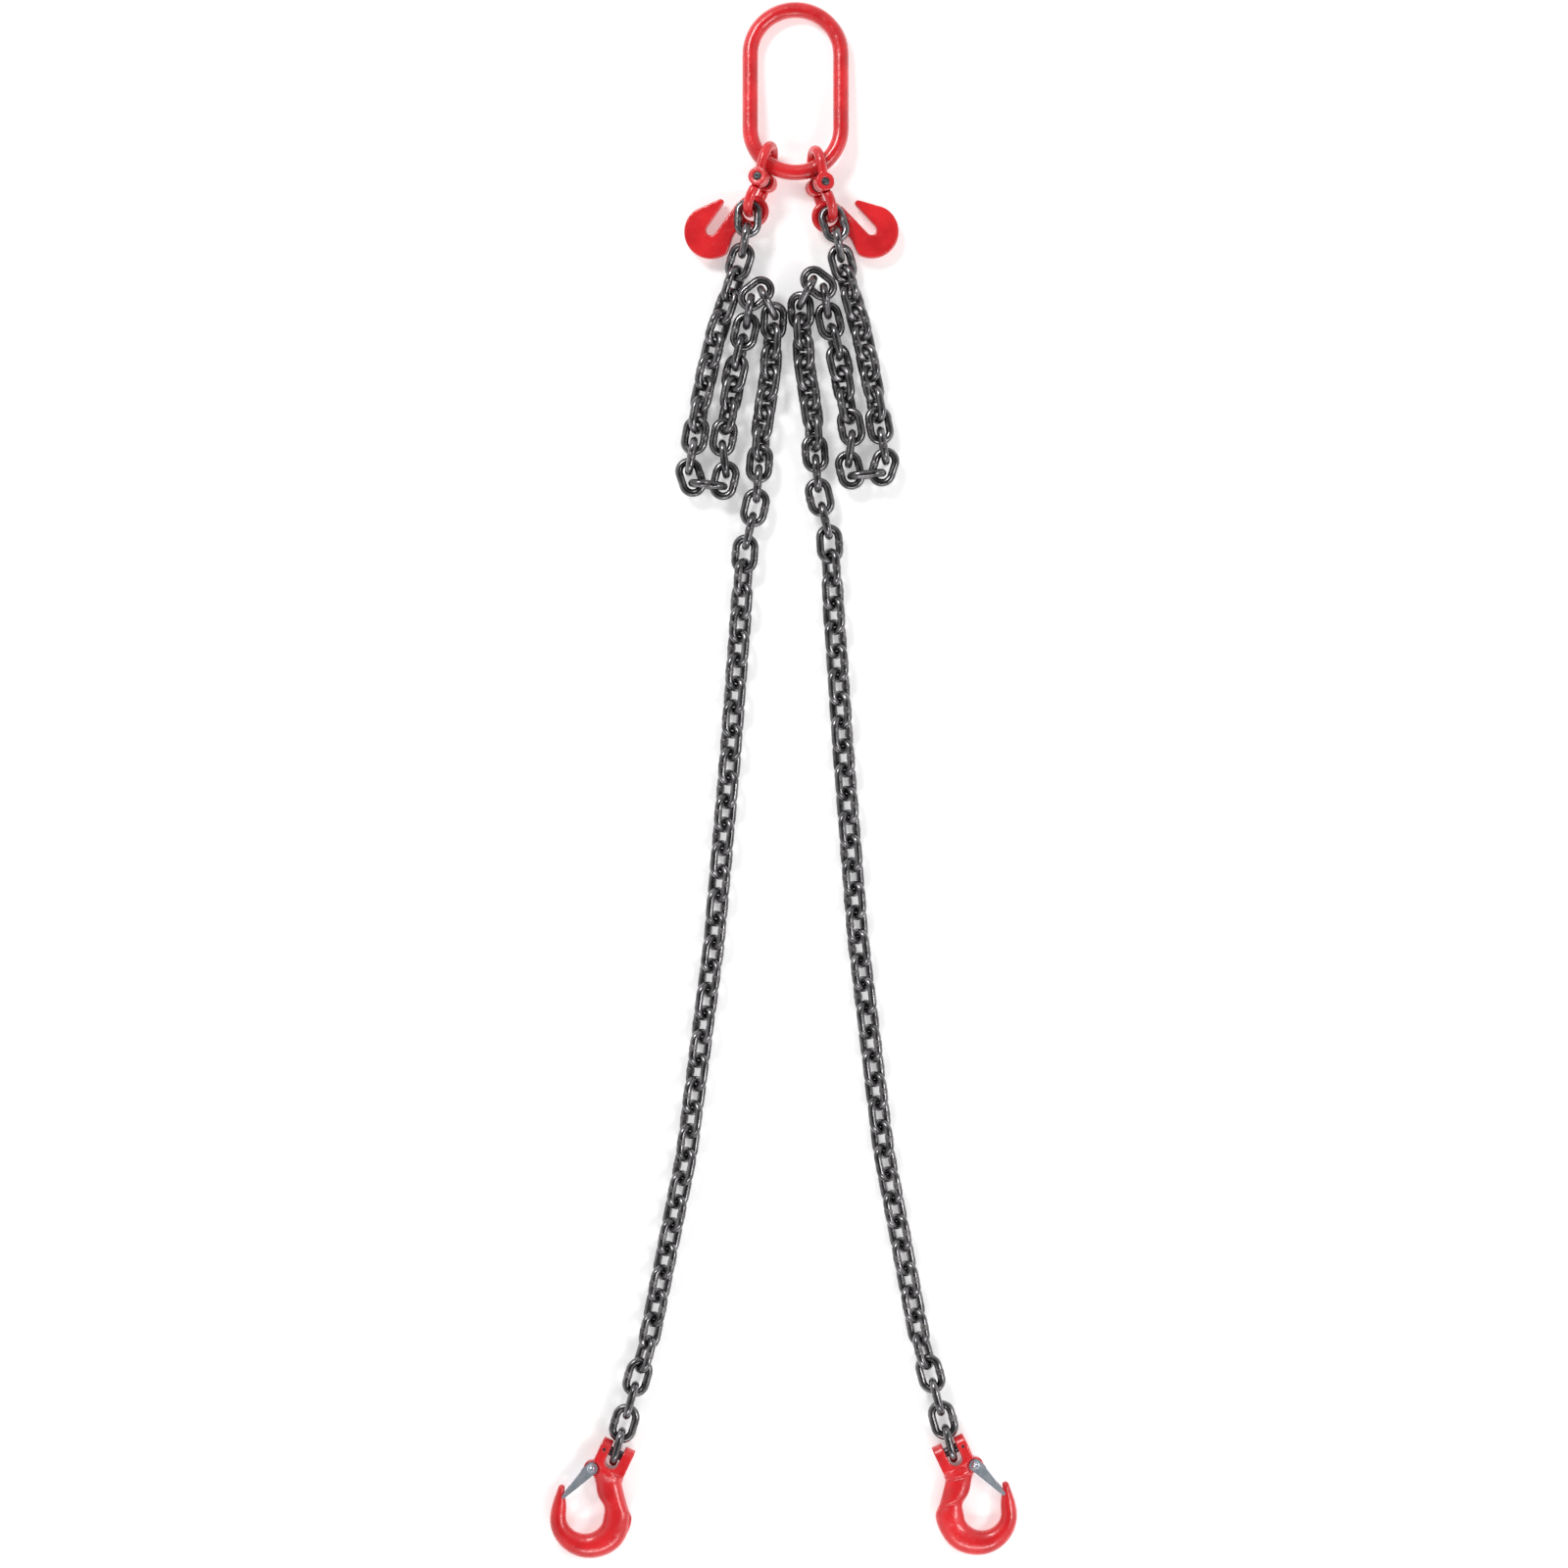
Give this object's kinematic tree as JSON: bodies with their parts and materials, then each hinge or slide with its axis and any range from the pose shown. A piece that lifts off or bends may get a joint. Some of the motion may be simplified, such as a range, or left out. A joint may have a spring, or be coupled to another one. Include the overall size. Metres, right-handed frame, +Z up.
{
  "type": "chain sling",
  "caption": "Chain sling with a master link, coupling links, shortening grab hooks, chain legs and clevis sling hooks with latches, laid flat.",
  "frame": {"origin": "middle of the footprint on the floor", "axes": "+Z up, +Y from the sling hooks to the master link, +X to the right leg"},
  "size_m": [0.4754, 1.5842, 0.0477],
  "materials": {
    "red_paint": "glossy red powder coat over forged steel",
    "chain_steel": "dark oiled steel, polished on the sides of the links",
    "pin_steel": "dark satin steel",
    "zinc_plate": "bright zinc plate",
    "spring_steel": "bare spring wire"
  },
  "bodies": {
    "master": {"master_link": "red_paint"},
    "left_coupling_upper": {"left_coupling_upper_half": "red_paint", "left_coupling_load_pin": "pin_steel", "left_coupling_locking_bush": "pin_steel"},
    "left_coupling_lower": {"left_coupling_lower_half": "red_paint"},
    "left_grab": {"left_grab_hook": "red_paint"},
    "left_chain_01": {"left_chain_01": "chain_steel"},
    "left_chain_02": {"left_chain_02": "chain_steel"},
    "left_chain_03": {"left_chain_03": "chain_steel"},
    "left_chain_04": {"left_chain_04": "chain_steel"},
    "left_chain_05": {"left_chain_05": "chain_steel"},
    "left_chain_06": {"left_chain_06": "chain_steel"},
    "left_chain_07": {"left_chain_07": "chain_steel"},
    "left_chain_08": {"left_chain_08": "chain_steel"},
    "left_chain_09": {"left_chain_09": "chain_steel"},
    "left_chain_10": {"left_chain_10": "chain_steel"},
    "left_chain_11": {"left_chain_11": "chain_steel"},
    "left_chain_12": {"left_chain_12": "chain_steel"},
    "left_hook": {"left_sling_hook": "red_paint", "left_hook_load_pin": "pin_steel", "left_hook_retaining_pin": "pin_steel", "left_latch_pin": "zinc_plate", "left_latch_spring": "spring_steel"},
    "left_latch_plate": {"left_latch": "zinc_plate"},
    "right_coupling_upper": {"right_coupling_upper_half": "red_paint", "right_coupling_load_pin": "pin_steel", "right_coupling_locking_bush": "pin_steel"},
    "right_coupling_lower": {"right_coupling_lower_half": "red_paint"},
    "right_grab": {"right_grab_hook": "red_paint"},
    "right_chain_01": {"right_chain_01": "chain_steel"},
    "right_chain_02": {"right_chain_02": "chain_steel"},
    "right_chain_03": {"right_chain_03": "chain_steel"},
    "right_chain_04": {"right_chain_04": "chain_steel"},
    "right_chain_05": {"right_chain_05": "chain_steel"},
    "right_chain_06": {"right_chain_06": "chain_steel"},
    "right_chain_07": {"right_chain_07": "chain_steel"},
    "right_chain_08": {"right_chain_08": "chain_steel"},
    "right_chain_09": {"right_chain_09": "chain_steel"},
    "right_chain_10": {"right_chain_10": "chain_steel"},
    "right_chain_11": {"right_chain_11": "chain_steel"},
    "right_chain_12": {"right_chain_12": "chain_steel"},
    "right_hook": {"right_sling_hook": "red_paint", "right_hook_load_pin": "pin_steel", "right_hook_retaining_pin": "pin_steel", "right_latch_pin": "zinc_plate", "right_latch_spring": "spring_steel"},
    "right_latch_plate": {"right_latch": "zinc_plate"}
  },
  "joints": [
    {"name": "left_coupling_swing", "type": "hinge", "parent": "master", "child": "left_coupling_upper", "pos_m": [-0.01657, 0.62623, 0.02222], "axis": [0.7803, -0.6254, 0], "range_deg": [-29.75, 29.75]},
    {"name": "left_coupling_fold", "type": "hinge", "parent": "left_coupling_upper", "child": "left_coupling_lower", "pos_m": [-0.02094, 0.6087, 0.02392], "axis": [-0.2674, 0.0667, 0.9613], "range_deg": [-25, 0]},
    {"name": "left_grab_hook_swing", "type": "hinge", "parent": "left_coupling_lower", "child": "left_grab", "pos_m": [-0.03177, 0.57764, 0.01422], "axis": [-0.4288, -0.4011, 0.8094], "range_deg": [-8.92, 1.27]},
    {"name": "left_chain_01_lift", "type": "hinge", "parent": "left_coupling_lower", "child": "left_chain_01", "pos_m": [-0.03494, 0.57612, 0.02228], "axis": [-0.9994, 0.0349, 0], "range_deg": [-2.38, 8.92]},
    {"name": "left_chain_02_lift", "type": "hinge", "parent": "left_chain_01", "child": "left_chain_02", "pos_m": [-0.06421, 0.46643, 0.01183], "axis": [-0.947, 0.3214, 0], "range_deg": [-11.9, 0]},
    {"name": "left_chain_03_lift", "type": "hinge", "parent": "left_chain_02", "child": "left_chain_03", "pos_m": [-0.09638, 0.31289, 0.01543], "axis": [-0.9511, -0.309, 0], "range_deg": [-8.92, 0]},
    {"name": "left_chain_04_lift", "type": "hinge", "parent": "left_chain_03", "child": "left_chain_04", "pos_m": [-0.0622, 0.34233, 0.01542], "axis": [0.9835, -0.181, 0], "range_deg": [0, 8.92]},
    {"name": "left_chain_05_lift", "type": "hinge", "parent": "left_chain_04", "child": "left_chain_05", "pos_m": [-0.01086, 0.45003, 0.01309], "axis": [-0.9985, 0.0554, 0], "range_deg": [-11.9, 11.9]},
    {"name": "left_chain_06_lift", "type": "hinge", "parent": "left_chain_05", "child": "left_chain_06", "pos_m": [-0.02351, 0.34659, 0.01214], "axis": [-0.9966, 0.0819, 0], "range_deg": [-11.9, 11.9]},
    {"name": "left_chain_07_lift", "type": "hinge", "parent": "left_chain_06", "child": "left_chain_07", "pos_m": [-0.03844, 0.23718, 0.01499], "axis": [-0.9973, 0.0736, 0], "range_deg": [-5.95, 4.16]},
    {"name": "left_chain_08_side", "type": "hinge", "parent": "left_chain_07", "child": "left_chain_08", "pos_m": [-0.04899, 0.09366, 0.01228], "axis": [0, 0, -1], "range_deg": [-8.92, 8.92]},
    {"name": "left_chain_09_lift", "type": "hinge", "parent": "left_chain_08", "child": "left_chain_09", "pos_m": [-0.0627, -0.0738, 0.01219], "axis": [-0.9962, 0.087, 0], "range_deg": [-8.92, 8.92]},
    {"name": "left_chain_10_side", "type": "hinge", "parent": "left_chain_09", "child": "left_chain_10", "pos_m": [-0.08061, -0.24143, 0.01226], "axis": [0, 0, -1], "range_deg": [-8.92, 8.92]},
    {"name": "left_chain_11_lift", "type": "hinge", "parent": "left_chain_10", "child": "left_chain_11", "pos_m": [-0.10427, -0.4093, 0.0126], "axis": [-0.9803, 0.1975, 0], "range_deg": [-5.95, 5.95]},
    {"name": "left_chain_12_side", "type": "hinge", "parent": "left_chain_11", "child": "left_chain_12", "pos_m": [-0.13331, -0.55279, 0.01219], "axis": [0, 0, -1], "range_deg": [-5.95, 5.95]},
    {"name": "left_hook_swing", "type": "hinge", "parent": "left_chain_12", "child": "left_hook", "pos_m": [-0.17064, -0.68472, 0.01498], "axis": [0.9026, -0.4305, 0], "range_deg": [-38.25, 38.25]},
    {"name": "left_latch_open", "type": "hinge", "parent": "left_hook", "child": "left_latch_plate", "pos_m": [-0.19514, -0.69938, 0.01411], "axis": [-0.0158, -0.0331, 0.9993], "range_deg": [0, 18], "stiffness_Nm_per_rad": 0.05, "springref_deg": -15, "deforming": ["left_latch_spring"]},
    {"name": "right_coupling_swing", "type": "hinge", "parent": "master", "child": "right_coupling_upper", "pos_m": [0.03398, 0.62154, 0.02222], "axis": [0.8821, 0.4711, 0], "range_deg": [-29.75, 29.75]},
    {"name": "right_coupling_fold", "type": "hinge", "parent": "right_coupling_upper", "child": "right_coupling_lower", "pos_m": [0.03666, 0.6038, 0.02392], "axis": [0.2725, 0.0412, 0.9613], "range_deg": [0, 25]},
    {"name": "right_grab_hook_swing", "type": "hinge", "parent": "right_coupling_lower", "child": "right_grab", "pos_m": [0.04523, 0.57211, 0.01401], "axis": [0.3999, -0.436, 0.8063], "range_deg": [-1.27, 7.17]},
    {"name": "right_chain_01_lift", "type": "hinge", "parent": "right_coupling_lower", "child": "right_chain_01", "pos_m": [0.04829, 0.57031, 0.02206], "axis": [-0.9511, -0.309, 0], "range_deg": [-1.19, 6.7]},
    {"name": "right_chain_02_lift", "type": "hinge", "parent": "right_chain_01", "child": "right_chain_02", "pos_m": [0.07545, 0.46978, 0.0118], "axis": [-0.9604, -0.2787, 0], "range_deg": [-11.9, 3.76]},
    {"name": "right_chain_03_lift", "type": "hinge", "parent": "right_chain_02", "child": "right_chain_03", "pos_m": [0.10406, 0.32338, 0.01547], "axis": [-0.9511, 0.309, 0], "range_deg": [-8.92, 3.76]},
    {"name": "right_chain_04_lift", "type": "hinge", "parent": "right_chain_03", "child": "right_chain_04", "pos_m": [0.06988, 0.35283, 0.01545], "axis": [0.9836, 0.1804, 0], "range_deg": [-5.95, 3.76]},
    {"name": "right_chain_05_lift", "type": "hinge", "parent": "right_chain_04", "child": "right_chain_05", "pos_m": [0.01858, 0.46052, 0.01309], "axis": [-0.9985, -0.0554, 0], "range_deg": [-11.9, 11.9]},
    {"name": "right_chain_06_lift", "type": "hinge", "parent": "right_chain_05", "child": "right_chain_06", "pos_m": [0.03123, 0.35709, 0.01214], "axis": [-0.9966, -0.0819, 0], "range_deg": [-11.9, 11.9]},
    {"name": "right_chain_07_lift", "type": "hinge", "parent": "right_chain_06", "child": "right_chain_07", "pos_m": [0.04616, 0.24768, 0.01499], "axis": [-0.9978, -0.0665, 0], "range_deg": [-4.16, 2.38]},
    {"name": "right_chain_08_side", "type": "hinge", "parent": "right_chain_07", "child": "right_chain_08", "pos_m": [0.05582, 0.10274, 0.01229], "axis": [0, 0, 1], "range_deg": [-8.92, 8.92]},
    {"name": "right_chain_09_lift", "type": "hinge", "parent": "right_chain_08", "child": "right_chain_09", "pos_m": [0.06827, -0.06657, 0.01219], "axis": [-0.9969, -0.0781, 0], "range_deg": [-8.92, 8.92]},
    {"name": "right_chain_10_side", "type": "hinge", "parent": "right_chain_09", "child": "right_chain_10", "pos_m": [0.08485, -0.236, 0.01226], "axis": [0, 0, 1], "range_deg": [-5.95, 5.95]},
    {"name": "right_chain_11_lift", "type": "hinge", "parent": "right_chain_10", "child": "right_chain_11", "pos_m": [0.10714, -0.40528, 0.0126], "axis": [-0.9822, -0.1881, 0], "range_deg": [-5.95, 5.95]},
    {"name": "right_chain_12_side", "type": "hinge", "parent": "right_chain_11", "child": "right_chain_12", "pos_m": [0.13481, -0.54904, 0.01219], "axis": [0, 0, 1], "range_deg": [-5.95, 5.95]},
    {"name": "right_hook_swing", "type": "hinge", "parent": "right_chain_12", "child": "right_hook", "pos_m": [0.17065, -0.68138, 0.01498], "axis": [-0.9026, -0.4305, 0], "range_deg": [-38.25, 38.25]},
    {"name": "right_latch_open", "type": "hinge", "parent": "right_hook", "child": "right_latch_plate", "pos_m": [0.19515, -0.69604, 0.01411], "axis": [-0.0158, 0.0331, -0.9993], "range_deg": [0, 18], "stiffness_Nm_per_rad": 0.05, "springref_deg": -15, "deforming": ["right_latch_spring"]}
  ]
}
